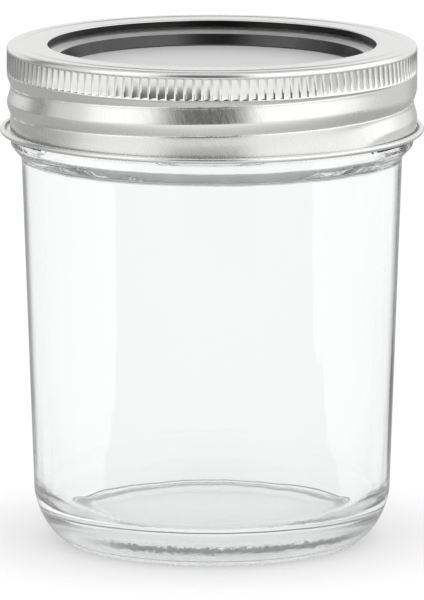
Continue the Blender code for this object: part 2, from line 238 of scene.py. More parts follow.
class JarClosureSizes(bpy.types.PropertyGroup):
    thread_pitch: length_setting("Thread pitch", "Rise of the thread in one turn", 5.08)
    band_radius: length_setting(
        "Band radius", "Outer radius of the knurled shoulder and the skirt", 36.05
    )
    band_sheet: length_setting("Band sheet", "Thickness of the band's tinplate", 0.3)
    opening_radius: length_setting(
        "Opening radius", "Radius of the hemmed opening over the lid", 28.9
    )
    knurl_height: length_setting("Knurl height", "Height of the knurled row", 3.9)
    knurl_depth: length_setting(
        "Knurl depth", "How deep each pocket is pressed at its steep side", 0.26
    )
    knurl_ridge: length_setting(
        "Knurl ridge", "Half the width of the plain ridge between two pockets", 0.27
    )
    bead_depth: length_setting("Bead depth", "Depth of the rolled thread in the skirt", 0.75)
    bead_above: length_setting("Bead above", "Width of the bead's flank above its valley", 2.2)
    bead_below: length_setting("Bead below", "Width of the bead's flank below its valley", 2.88)
    lid_sheet: length_setting("Lid sheet", "Thickness of the lid's tinplate", 0.25)
    panel_radius: length_setting(
        "Panel radius", "Radius of the lid's sunk panel at the top of its wall", 26.9
    )


class JarColours(bpy.types.PropertyGroup):
    glass: colour_setting("Glass", "Tint of the clear glass", "#FDFEFE")
    # Painted shade: the dark grey of the glass's outline, where the wall is seen edge-on.
    edge_painted_shade: colour_setting("Glass edge", "Tint where the wall is seen edge-on", "#3A3D3D")
    # Painted shade: the grey of the line on the heel's front.
    heel_painted_shade: colour_setting(
        "Heel line", "Tint of the glass in the heel's mottled line", "#6E7070"
    )
    # Partly painted shade: the seam's glass is rough, and its dark grey darkens the foot's outline.
    seam: colour_setting("Bottom seam", "Tint of the glass at the seam round the foot", "#4C4E4E")
    # Partly painted shade: the underside is pitted, and its grey dims the floor seen through the
    # push-up.
    underside: colour_setting("Underside", "Tint of the faintly pitted underside", "#E6E8E8")
    tinplate: colour_setting("Tinplate", "Colour of the closure's tinplate", "#E7E7E6")
    # Painted shade: the lid's sunk wall is coloured dark grey to darken the hollow round the panel.
    drawn_wall: colour_setting(
        "Drawn wall", "Colour of the lid's burnished deep-drawn wall", "#4E4E4E"
    )
    # Painted shade: the hem's inner face is near black, for the dark gap under the opening's edge.
    hem_painted_shade: colour_setting("Hem inside", "Colour of the opening's dull folded edge", "#262626")
    # Partly painted light: the matt lacquer is the panel's own, and its colour, paler than the
    # tinplate, brightens it.
    panel: colour_setting("Panel", "Colour of the lid's panel under its matt lacquer", "#F0F0F0")
    plastisol: colour_setting("Sealing compound", "Colour of the sealing ring", "#CFC9BE")
    floor: colour_setting("Floor", "Colour of the studio floor", "#F4F4F4")


class JarStageSizes(bpy.types.PropertyGroup):
    camera_distance: length_setting(
        "Camera distance", "From the jar's axis to the camera along the floor", 1271.0
    )
    camera_height: length_setting("Camera height", "Height of the camera over the floor", 272.9)
    camera_tilt: bpy.props.FloatProperty(
        name="Camera tilt",
        description="How far the camera looks down",
        default=math.radians(10.283),
        subtype="ANGLE",
    )
    camera_lens: bpy.props.FloatProperty(
        name="Camera lens",
        description="Focal length for a frame 36 mm high",
        default=438.86,
        min=1.0,
        subtype="DISTANCE_CAMERA",
    )
    floor_size: length_setting("Floor size", "Width and depth of the studio floor", 6000.0)


# Making meshes


def softened(corners, steps=6):
    """A profile's points (radius, height), with each corner turned to an arc of its own rounding."""
    points = []
    for i, (radius, height, rounding) in enumerate(corners):
        here = Vector((radius, height))
        if rounding == 0.0:
            points.append(here)
            continue
        back = (Vector(corners[i - 1][:2]) - here).normalized()
        onward = (Vector(corners[i + 1][:2]) - here).normalized()
        half = math.acos(back.dot(onward)) / 2
        centre = here + (back + onward).normalized() * rounding / math.sin(half)
        first = here + back * rounding / math.tan(half) - centre
        start = math.atan2(first.y, first.x)
        sweep = math.copysign(math.pi - 2 * half, onward.cross(back))
        for step in range(steps + 1):
            angle = start + sweep * step / steps
            points.append(centre + Vector((math.cos(angle), math.sin(angle))) * rounding)
    return points


def start_ring(name, point, columns):
    """Adds a circle at its size and height, and leaves it selected in edit mode."""
    bpy.ops.object.select_all(action="DESELECT")
    bpy.ops.mesh.primitive_circle_add(
        vertices=columns, radius=point[0], fill_type="NOTHING", location=(0.0, 0.0, point[1])
    )
    bpy.ops.object.transform_apply(location=True)
    obj = bpy.context.object
    obj.name = obj.data.name = name
    bpy.ops.object.mode_set(mode="EDIT")
    bpy.ops.mesh.select_all(action="SELECT")
    return obj


def extrude_rings(points):
    """Extrudes the selected ring, which lies at the first point, through the others."""
    for here, there in zip(points, points[1:]):
        bpy.ops.mesh.extrude_edges_move(
            TRANSFORM_OT_translate={"value": (0.0, 0.0, there[1] - here[1])}
        )
        share = there[0] / here[0]
        bpy.ops.transform.resize(
            value=(share, share, 1.0), center_override=(0.0, 0.0, there[1])
        )


def close_on_axis():
    """Closes the selected ring to one point on the axis."""
    bpy.ops.mesh.extrude_edges_move(TRANSFORM_OT_translate={"value": (0.0, 0.0, 0.0)})
    bpy.ops.mesh.merge(type="CENTER")


def select_where(kind, test):
    """Selects the verts, edges or faces of the open mesh for which the test holds."""
    modes = {"verts": "VERT", "edges": "EDGE", "faces": "FACE"}
    bpy.ops.mesh.select_mode(type=modes[kind])
    bpy.ops.mesh.select_all(action="DESELECT")
    mesh = bpy.context.object.data
    bm = bmesh.from_edit_mesh(mesh)
    for part in getattr(bm, kind):
        if test(part):
            part.select_set(True)
    bm.select_flush_mode()
    bmesh.update_edit_mesh(mesh)


def close_seams(place, outward):
    """Merges doubles and turns the normals out: the face nearest to a place looks outward there."""
    bpy.ops.mesh.select_all(action="SELECT")
    bpy.ops.mesh.remove_doubles(threshold=MERGE_DISTANCE)
    bpy.ops.mesh.normals_make_consistent(inside=False)
    bm = bmesh.from_edit_mesh(bpy.context.object.data)
    nearest = min(
        bm.faces, key=lambda face: (face.calc_center_median() - Vector(place)).length
    )
    if nearest.normal.dot(Vector(outward)) < 0.0:
        bpy.ops.mesh.flip_normals()
    bpy.ops.object.mode_set(mode="OBJECT")


def apply_modifier(obj, kind, **settings):
    """Adds a modifier with its settings and applies it."""
    modifier = obj.modifiers.new(kind.lower(), kind)
    for name, value in settings.items():
        setattr(modifier, name, value)
    bpy.ops.object.modifier_apply(modifier=modifier.name)


def eased(share):
    """A smooth start and stop between 0 and 1."""
    share = min(1.0, max(0.0, share))
    return share * share * (3.0 - 2.0 * share)


def weigh(obj, name, weight_at):
    """Gives the mesh a vertex group whose weights follow a rule of place."""
    group = obj.vertex_groups.new(name=name)
    for vert in obj.data.vertices:
        weight = weight_at(vert.co)
        if weight > 0.0:
            group.add([vert.index], weight, "REPLACE")
    return name


def cut_rows(height, cuts, reach=0.0):
    """Cuts a plain wall of a height, which lies beyond a reach from the axis, into fine rows."""
    tall = height * TALL_SHARE

    def on_wall(edge):
        one, other = edge.verts
        return abs(one.co.z - other.co.z) > tall and one.co.xy.length > reach

    select_where("edges", on_wall)
    bpy.ops.mesh.subdivide(number_cuts=cuts)


def helix_share(place, helix):
    """How much of a helical bead's full depth lies at a place on the wall, from 0 to 1."""
    turn = math.degrees(math.atan2(place.y, place.x))
    share = 0.0
    for whole in WHOLE_TURNS:
        along = turn + 360.0 * whole
        if THREAD_START_DEG <= along <= helix.end_deg:
            offset = place.z - helix.height_at_x - helix.pitch * along / 360.0
            first = eased((FIRST_TURN_END_DEG - along) / FIRST_TURN_FADE_DEG)
            below = helix.below * (1.0 + helix.first_spread * first)
            across = offset / helix.above if offset > 0.0 else -offset / below
            if across < 1.0:
                fade = eased(min(along - THREAD_START_DEG, helix.end_deg - along) / helix.fade_deg)
                hollow = offset > 0.0 and helix.first_spread > 0.0
                depth = (1.0 - across) ** FLANK_HOLLOW if hollow else bead_shape(across)
                share = max(share, fade * depth)
    return share


def bead_shape(across):
    """Depth shares across a flank: a narrow valley, a nearly straight flank and a soft crest."""
    flank = math.sqrt((1.0 - across) ** 2 + CREST_SOFTNESS) - math.sqrt(CREST_SOFTNESS)
    whole = math.sqrt(1.0 + CREST_SOFTNESS) - math.sqrt(CREST_SOFTNESS)
    rounding = VALLEY_DEPTH_SHARE * math.exp(-((across / VALLEY_WIDTH_SHARE) ** 2))
    return flank / whole * (1.0 - rounding)


def press_helix(obj, helix, radius, height, upper_end=None):
    """Raises a helical bead from a plain wall at a radius, or sinks it where its height is negative.

    Under an upper end, it sets in over a short way."""

    def share(place):
        if abs(place.xy.length - radius) > NEAR:
            return 0.0
        start = 1.0 if upper_end is None else eased((upper_end - place.z) / BEAD_EASE)
        return helix_share(place, helix) * start

    group = weigh(obj, "helix", share)
    apply_modifier(obj, "DISPLACE", strength=height, mid_level=0.0, vertex_group=group)


def finish_piece(obj, materials, body, node):
    """Shades a piece, gives it its materials, and puts it in its node's place."""
    bpy.ops.object.shade_smooth_by_angle(angle=SMOOTH_ANGLE)
    for material in materials:
        obj.data.materials.append(material)
    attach(obj, body)
    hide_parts(node)


# Making materials


def hex_colour(value):
    """An sRGB hex value such as #C0C0C0 as a linear colour."""
    channels = [int(value[i : i + 2], 16) / 255.0 for i in (1, 3, 5)]
    linear = [c / 12.92 if c <= 0.04045 else ((c + 0.055) / 1.055) ** 2.4 for c in channels]
    return (*linear, 1.0)


def add_node(tree, kind, inputs=None, **settings):
    """Adds a node with its settings. Each input takes a value or the socket that feeds it."""
    node = tree.nodes.new(kind)
    for name, value in settings.items():
        setattr(node, name, value)
    for key, value in (inputs or {}).items():
        if isinstance(value, bpy.types.NodeSocket):
            tree.links.new(value, node.inputs[key])
        else:
            node.inputs[key].default_value = value
    return node


def new_material(name):
    """A material with an empty tree, and the place on the piece that its patterns follow."""
    material = bpy.data.materials.new(name)
    material.use_nodes = True
    tree = material.node_tree
    tree.nodes.clear()
    return material, tree, add_node(tree, "ShaderNodeTexCoord").outputs["Object"]


def finish_material(tree, relief, look):
    """Ends a tree with its surface, whose relief is a pattern, its strength and its depth."""
    pattern, strength, depth = relief
    bump = add_node(
        tree, "ShaderNodeBump", {"Height": pattern, "Strength": strength, "Distance": depth}
    )
    surface = add_node(
        tree, "ShaderNodeBsdfPrincipled", {"Normal": bump.outputs["Normal"], **look}
    )
    add_node(tree, "ShaderNodeOutputMaterial", {"Surface": surface.outputs["BSDF"]})


def within(tree, limits):
    """How much values lie inside their soft limits, from 0 to 1.

    Each limit is a value, where nothing of it counts and where all of it does."""
    share = 1.0
    for value, outside, inside in limits:
        side = add_node(
            tree,
            "ShaderNodeMapRange",
            {"Value": value, "From Min": outside, "From Max": inside},
            interpolation_type="SMOOTHSTEP",
        ).outputs["Result"]
        share = add_node(
            tree, "ShaderNodeMath", {0: share, 1: side}, operation="MULTIPLY"
        ).outputs[0]
    return share


def turn_from_front(tree, axes):
    """The angle of a place or direction round the axis, from the camera's side towards +X."""
    front = add_node(tree, "ShaderNodeMath", {0: axes["Y"], 1: -1.0}, operation="MULTIPLY")
    return add_node(
        tree, "ShaderNodeMath", {0: axes["X"], 1: front.outputs[0]}, operation="ARCTAN2"
    ).outputs[0]


def streaks(tree, place, lengths, look):
    """A streaky pattern from 0 to 1, as long along each axis as its lengths."""
    stretched = add_node(
        tree,
        "ShaderNodeVectorMath",
        {0: place, 1: [1.0 / length for length in lengths]},
        operation="MULTIPLY",
    )
    return add_node(
        tree,
        "ShaderNodeTexNoise",
        {"Vector": stretched.outputs["Vector"], "Scale": 1.0, **look},
    ).outputs["Fac"]


GLASS = {"IOR": 1.52, "Transmission Weight": 1.0}
POLISHED = 0.015  # roughness of a fire-polished surface
# The glass's dark outline is painted shade, within these facings and heights.
OUTLINE_FACING = (0.72, 0.86)  # how edge-on the wall is where its outline starts and is full
OUTLINE_LOW = (11.0 * MM, 26.0 * MM)
OUTLINE_HIGH = (71.0 * MM, 66.0 * MM)
# The heel's painted line of shade: how far it wanders, its soft edge, and the sector at the front that
# it covers.
MOTTLE_REACH = 3.0 * MM  # how far the mottle makes the heel's line wander
HEEL_LINE_EDGE = (2.45 * MM, 1.85 * MM)
HEEL_LINE_LEFT = (math.radians(-55.0), math.radians(-28.0))
HEEL_LINE_RIGHT = (math.radians(74.0), math.radians(46.0))
UNROLL_RADIUS = 36.0 * MM  # at which the grinding lines have their true spacing


def fire_polished_glass_painted_edge(colours):
    """Pressed soda-lime glass, fire-polished: clear, with a faint waviness from the mould.

    Its dark outline is painted shade: where the wall is seen edge-on along the body, its colour turns
    dark grey."""
    material, tree, place = new_material("soda_lime_glass_fire_polished")
    wave = add_node(tree, "ShaderNodeTexNoise", {"Vector": place, "Scale": 1.0 / (9.0 * MM)})
    facing = add_node(tree, "ShaderNodeLayerWeight", {"Blend": 0.5}).outputs["Facing"]
    height = add_node(tree, "ShaderNodeSeparateXYZ", {"Vector": place}).outputs["Z"]
    outline = within(
        tree,
        [(facing, *OUTLINE_FACING), (height, *OUTLINE_LOW), (height, *OUTLINE_HIGH)],
    )
    # Painted shade: dark grey at the edge-on outline, clear glass elsewhere.
    painted_tint = add_node(
        tree,
        "ShaderNodeMix",
        {0: outline, 6: hex_colour(colours.glass), 7: hex_colour(colours.edge_painted_shade)},
        data_type="RGBA",
    )
    look = {"Base Color": painted_tint.outputs[2], "Roughness": POLISHED, **GLASS}
    finish_material(tree, (wave.outputs["Fac"], 0.12, 0.2 * MM), look)
    return material


def plunger_glass(colours):
    """The same glass where the plunger pressed it: the inside, smoother and longer in wave."""
    material, tree, place = new_material("soda_lime_glass_inside")
    wave = add_node(tree, "ShaderNodeTexNoise", {"Vector": place, "Scale": 1.0 / (16.0 * MM)})
    look = {"Base Color": hex_colour(colours.glass), "Roughness": 0.01, **GLASS}
    finish_material(tree, (wave.outputs["Fac"], 0.08, 0.2 * MM), look)
    return material


def rough_glass_painted_shade(colour, name, roughness):
    """Glass roughened by the mould's bottom plate: tiny pits scatter the light, and its grey tint is
    painted shade.
    """
    material, tree, place = new_material(name)
    pits = add_node(
        tree,
        "ShaderNodeTexNoise",
        {"Vector": place, "Scale": 1.0 / (0.5 * MM), "Detail": 3.0, "Roughness": 0.7},
    )
    look = {"Base Color": hex_colour(colour), "Roughness": roughness, **GLASS}
    finish_material(tree, (pits.outputs["Fac"], 0.9, 0.12 * MM), look)
    return material


def glass_with_painted_heel_line(colours):
    """Clear glass with a mottled grey line of painted shade on the heel's front, which stands in for
    the dark ring that the heel shows of the stippled foot.
    """
    material, tree, place = new_material("soda_lime_glass_mottled_heel")
    mottle = add_node(
        tree,
        "ShaderNodeTexNoise",
        {"Vector": place, "Scale": 1.0 / (0.75 * MM), "Detail": 4.0, "Roughness": 0.7},
    ).outputs["Fac"]
    axes = add_node(tree, "ShaderNodeSeparateXYZ", {"Vector": place}).outputs
    over = add_node(
        tree, "ShaderNodeMath", {0: axes["Z"], 1: HEEL_LINE_HEIGHT}, operation="SUBTRACT"
    )
    away = add_node(tree, "ShaderNodeMath", {0: over.outputs[0]}, operation="ABSOLUTE")
    ragged = add_node(
        tree,
        "ShaderNodeMath",
        {0: mottle, 1: MOTTLE_REACH, 2: away.outputs[0]},
        operation="MULTIPLY_ADD",
    ).outputs[0]
    turn = turn_from_front(tree, axes)
    line = within(
        tree,
        [(ragged, *HEEL_LINE_EDGE), (turn, *HEEL_LINE_LEFT), (turn, *HEEL_LINE_RIGHT)],
    )
    painted_tint = add_node(
        tree,
        "ShaderNodeMix",
        {0: line, 6: hex_colour(colours.glass), 7: hex_colour(colours.heel_painted_shade)},
        data_type="RGBA",
    )
    rough = add_node(
        tree, "ShaderNodeMapRange", {"Value": line, "To Min": POLISHED, "To Max": 0.2}
    )
    look = {"Base Color": painted_tint.outputs[2], "Roughness": rough.outputs["Result"], **GLASS}
    finish_material(tree, (mottle, line, 0.3 * MM), look)
    return material


def stoned_tinplate(colours):
    """Stoned tinplate on the band's drawn wall: fine slanted grinding lines under bright tin.

    The lines catch light from the sides, so the darkest reflections look brushed."""
    material, tree, place = new_material("tinplate_drawn_wall")
    axes = add_node(tree, "ShaderNodeSeparateXYZ", {"Vector": place}).outputs
    around = add_node(
        tree,
        "ShaderNodeMath",
        {0: turn_from_front(tree, axes), 1: UNROLL_RADIUS},
        operation="MULTIPLY",
    )
    unrolled = add_node(
        tree, "ShaderNodeCombineXYZ", {"X": around.outputs[0], "Y": axes["Z"]}
    )
    slanted = add_node(
        tree,
        "ShaderNodeMapping",
        {"Vector": unrolled.outputs["Vector"], "Rotation": (0.0, 0.0, math.radians(-20.0))},
        vector_type="POINT",
    )
    lines = streaks(
        tree,
        slanted.outputs["Vector"],
        (0.22 * MM, 2.8 * MM, 1.0),
        {"Detail": 3.0, "Roughness": 0.6},
    )
    tone = add_node(
        tree,
        "ShaderNodeMapRange",
        {"Value": lines, "From Min": 0.3, "From Max": 0.7, "To Min": 0.97, "To Max": 1.01},
    )
    colour = add_node(
        tree,
        "ShaderNodeVectorMath",
        {0: hex_colour(colours.tinplate)[:3], "Scale": tone.outputs["Result"]},
        operation="SCALE",
    )
    rough = add_node(
        tree,
        "ShaderNodeMapRange",
        {"Value": lines, "From Min": 0.36, "From Max": 0.68, "To Min": 0.22, "To Max": 0.33},
    )
    look = {
        "Base Color": colour.outputs["Vector"],
        "Metallic": 1.0,
        "Roughness": rough.outputs["Result"],
    }
    finish_material(tree, (lines, 0.1, 0.02 * MM), look)
    return material


def rolled_tinplate(colour, name, roughness, grain, metallic=1.0):
    """Flat tinplate as rolled: a soft satin with a faint grain one way across the sheet.

    A matt lacquer over it scatters light as paint does, which a lower metallic share gives."""
    material, tree, place = new_material(name)
    lines = streaks(tree, place, (6.0 * MM, 0.5 * MM, 6.0 * MM), {"Detail": 2.0})
    rough = add_node(
        tree,
        "ShaderNodeMapRange",
        {
            "Value": lines,
            "From Min": 0.3,
            "From Max": 0.7,
            "To Min": roughness - grain,
            "To Max": roughness + grain,
        },
    )
    look = {
        "Base Color": hex_colour(colour),
        "Metallic": metallic,
        "Roughness": rough.outputs["Result"],
    }
    finish_material(tree, (lines, 0.15, 0.01 * MM), look)
    return material


def flowed_plastisol(colours):
    """PVC sealing compound, flowed in wet and baked: matt, a little rubbery, with tiny pores."""
    material, tree, place = new_material("plastisol_flowed")
    pores = add_node(tree, "ShaderNodeTexNoise", {"Vector": place, "Scale": 1.0 / (0.6 * MM)})
    look = {"Base Color": hex_colour(colours.plastisol), "Roughness": 0.55}
    finish_material(tree, (pores.outputs["Fac"], 0.3, 0.03 * MM), look)
    return material


# A card is a soft-edged patch of the studio round the jar, in degrees. Its turn is measured from
# the camera's side towards +X, its rise from the horizon, and its light is a radiance.
Card = namedtuple("Card", "turn_from turn_to rise_from rise_to edge light")
ROOM_LIGHT = 0.8
PALE_THROUGH_GLASS = 0.75  # how far the studio turns to plain white where glass shows it
CARDS = (
    Card(-75.0, -34.0, 2.0, 62.0, 8.0, 1.35),
    Card(21.0, 78.0, 2.0, 62.0, 8.0, 1.45),
    Card(78.0, 138.0, 0.0, 50.0, 10.0, 1.35),
    Card(-142.0, -106.0, -12.0, 44.0, 10.0, 0.26),
    Card(-26.0, 19.0, -8.0, 50.0, 12.0, 0.13),
)
# These two lie alike at the left and at the right.
BACKDROP = Card(125.0, 181.0, -1.0, 24.0, 6.0, 0.95)
BACK_SHADE = Card(150.0, 181.0, 36.0, 60.0, 5.0, 0.3)
# What the floor shows to straight reflections: its dark far edge, and a grey flag at each side
FLOOR_CARDS = (
    Card(-26.0, 19.0, -4.0, 5.0, 4.0, 0.13),
    Card(-142.0, -106.0, -9.0, 5.0, 6.0, 0.30),
    Card(90.0, 142.0, -20.0, 5.0, 10.0, 0.72),
)
# A greyer strip of the floor behind the jar, which only glass shows: painted shade that gives the
# glass's body a darker middle between its bright sides. Its sides are angles at the camera, where none
# and where all of it counts, and hold STRIP_DISTANCE from the camera.
STRIP_LEFT = (math.radians(-0.985), math.radians(-0.955))
STRIP_RIGHT = (math.radians(1.195), math.radians(1.165))
STRIP_DISTANCE = 1.356
STRIP_START = (-0.03, -0.02)  # along Y, under the jar
STRIP_LIGHT = 0.91
CONTACT_SHADE = 0.42  # how much darker the floor is right at the jar's foot
CONTACT_REACH = 24.0 * MM
CONTACT_SAMPLES = 16
GLOW_SHARE = 0.80  # of the floor's white that doesn't depend on light, so its shadows stay pale
FLOOR_LIGHT = 1.09
KNURL_HEIGHT = 85.0 * MM  # from which the floor's far edge is seen in the pockets
FLOOR_TURNS = (0.03, -0.25)  # along Y, where straight reflections of the floor turn brighter
FLOOR_REFLECTED = (0.42, 1.12)
FRAME_HEIGHT = 36.0  # of the camera's film, in mm
NEAR_CLIP = 10.0 * MM


def card_mask(tree, turn, rise, card):
    """How much of a card lies in a direction, from 0 to 1."""
    half = math.radians(card.edge / 2)
    limits = []
    for angle, start, end in (
        (turn, math.radians(card.turn_from), math.radians(card.turn_to)),
        (rise, math.radians(card.rise_from), math.radians(card.rise_to)),
    ):
        limits += [(angle, start - half, start + half), (angle, end + half, end - half)]
    return within(tree, limits)


def lay_card(tree, mask, light, card_light):
    """The light with a card's own where its mask is 1."""
    return add_node(
        tree, "ShaderNodeMix", {0: mask, 2: light, 3: card_light}, data_type="FLOAT"
    ).outputs[0]


def studio_world():
    """A white sweep for the camera, and soft boxes, flags and a dark camera side for the metal."""
    world = bpy.data.worlds.new("studio")
    world.use_nodes = True
    tree = world.node_tree
    tree.nodes.clear()
    direction = add_node(tree, "ShaderNodeTexCoord").outputs["Generated"]
    axes = add_node(tree, "ShaderNodeSeparateXYZ", {"Vector": direction}).outputs
    turn = turn_from_front(tree, axes)
    either = add_node(tree, "ShaderNodeMath", {0: turn}, operation="ABSOLUTE").outputs[0]
    rise = add_node(tree, "ShaderNodeMath", {0: axes["Z"]}, operation="ARCSINE").outputs[0]
    light = ROOM_LIGHT
    for angle, card in [(turn, card) for card in CARDS] + [(either, BACKDROP), (either, BACK_SHADE)]:
        light = lay_card(tree, card_mask(tree, angle, rise, card), light, card.light)
    path = add_node(tree, "ShaderNodeLightPath").outputs
    through = add_node(
        tree,
        "ShaderNodeMath",
        {0: path["Is Transmission Ray"], 1: PALE_THROUGH_GLASS},
        operation="MULTIPLY",
    )
    pale = add_node(
        tree,
        "ShaderNodeMath",
        {0: path["Is Camera Ray"], 1: through.outputs[0]},
        operation="MAXIMUM",
    )
    strength = lay_card(tree, pale.outputs[0], light, 1.0)
    background = add_node(
        tree, "ShaderNodeBackground", {"Color": (1.0, 1.0, 1.0, 1.0), "Strength": strength}
    )
    add_node(tree, "ShaderNodeOutputWorld", {"Surface": background.outputs["Background"]})
    return world


def reflected_floor(tree, place, axes):
    """The floor's light in straight reflections, with its cards as seen from the knurl's height."""
    light = add_node(
        tree,
        "ShaderNodeMapRange",
        {
            "Value": axes["Y"],
            "From Min": FLOOR_TURNS[0],
            "From Max": FLOOR_TURNS[1],
            "To Min": FLOOR_REFLECTED[0],
            "To Max": FLOOR_REFLECTED[1],
        },
        interpolation_type="SMOOTHSTEP",
    ).outputs["Result"]
    turn = turn_from_front(tree, axes)
    reach = add_node(tree, "ShaderNodeVectorMath", {0: place}, operation="LENGTH")
    rise = add_node(
        tree, "ShaderNodeMath", {0: -KNURL_HEIGHT, 1: reach.outputs["Value"]}, operation="DIVIDE"
    )
    for card in FLOOR_CARDS:
        mask = card_mask(tree, turn, rise.outputs[0], card)
        light = lay_card(tree, mask, light, card.light)
    return light


def painted_shade_strip(tree, axes, camera_distance):
    """How much of the strip of painted shade behind the jar lies at a place on the floor, from 0 to 1.
    """
    from_camera = add_node(
        tree, "ShaderNodeMath", {0: axes["Y"], 1: camera_distance}, operation="ADD"
    ).outputs[0]
    slope = add_node(tree, "ShaderNodeMath", {0: axes["X"], 1: from_camera}, operation="DIVIDE")
    nearness = add_node(
        tree, "ShaderNodeMath", {0: STRIP_DISTANCE, 1: from_camera}, operation="DIVIDE"
    )
    aside = add_node(
        tree,
        "ShaderNodeMath",
        {0: slope.outputs[0], 1: nearness.outputs[0]},
        operation="MULTIPLY",
    ).outputs[0]
    return within(
        tree,
        [(aside, *STRIP_LEFT), (aside, *STRIP_RIGHT), (axes["Y"], *STRIP_START)],
    )


def studio_floor(colours, sizes):
    """Matt white acrylic lit from below: it shows white, and takes a pale soft shadow."""
    material, tree, place = new_material("acrylic_floor_matt")
    axes = add_node(tree, "ShaderNodeSeparateXYZ", {"Vector": place}).outputs
    matt = add_node(tree, "ShaderNodeBsdfDiffuse", {"Color": hex_colour(colours.floor)})
    path = add_node(tree, "ShaderNodeLightPath").outputs
    seen = path["Is Camera Ray"]
    for ray in ("Is Glossy Ray", "Is Transmission Ray"):
        seen = add_node(
            tree, "ShaderNodeMath", {0: seen, 1: path[ray]}, operation="MAXIMUM"
        ).outputs[0]
    straight = add_node(
        tree,
        "ShaderNodeMath",
        {0: path["Is Glossy Ray"], 1: path["Is Transmission Ray"]},
        operation="SUBTRACT",
        use_clamp=True,
    )
    # Through glass only, the floor is greyer in a strip behind the jar: painted shade.
    through = add_node(
        tree,
        "ShaderNodeMath",
        {0: painted_shade_strip(tree, axes, sizes.camera_distance), 1: path["Is Transmission Ray"]},
        operation="MULTIPLY",
    )
    sweep = lay_card(tree, through.outputs[0], FLOOR_LIGHT, FLOOR_LIGHT * STRIP_LIGHT)
    open_sky = add_node(
        tree,
        "ShaderNodeAmbientOcclusion",
        {"Distance": CONTACT_REACH},
        samples=CONTACT_SAMPLES,
    ).outputs["AO"]
    contact = add_node(
        tree,
        "ShaderNodeMapRange",
        {"Value": open_sky, "To Min": FLOOR_LIGHT * (1.0 - CONTACT_SHADE), "To Max": FLOOR_LIGHT},
    ).outputs["Result"]
    level = lay_card(tree, path["Is Camera Ray"], sweep, contact)
    level = lay_card(tree, straight.outputs[0], level, reflected_floor(tree, place, axes))
    glow = add_node(
        tree, "ShaderNodeEmission", {"Color": (1.0, 1.0, 1.0, 1.0), "Strength": level}
    )
    share = add_node(tree, "ShaderNodeMath", {0: seen, 1: GLOW_SHARE}, operation="MULTIPLY")
    mixed = add_node(
        tree,
        "ShaderNodeMixShader",
        {0: share.outputs[0], 1: matt.outputs["BSDF"], 2: glow.outputs["Emission"]},
    )
    add_node(tree, "ShaderNodeOutputMaterial", {"Surface": mixed.outputs["Shader"]})
    return material


# Pieces


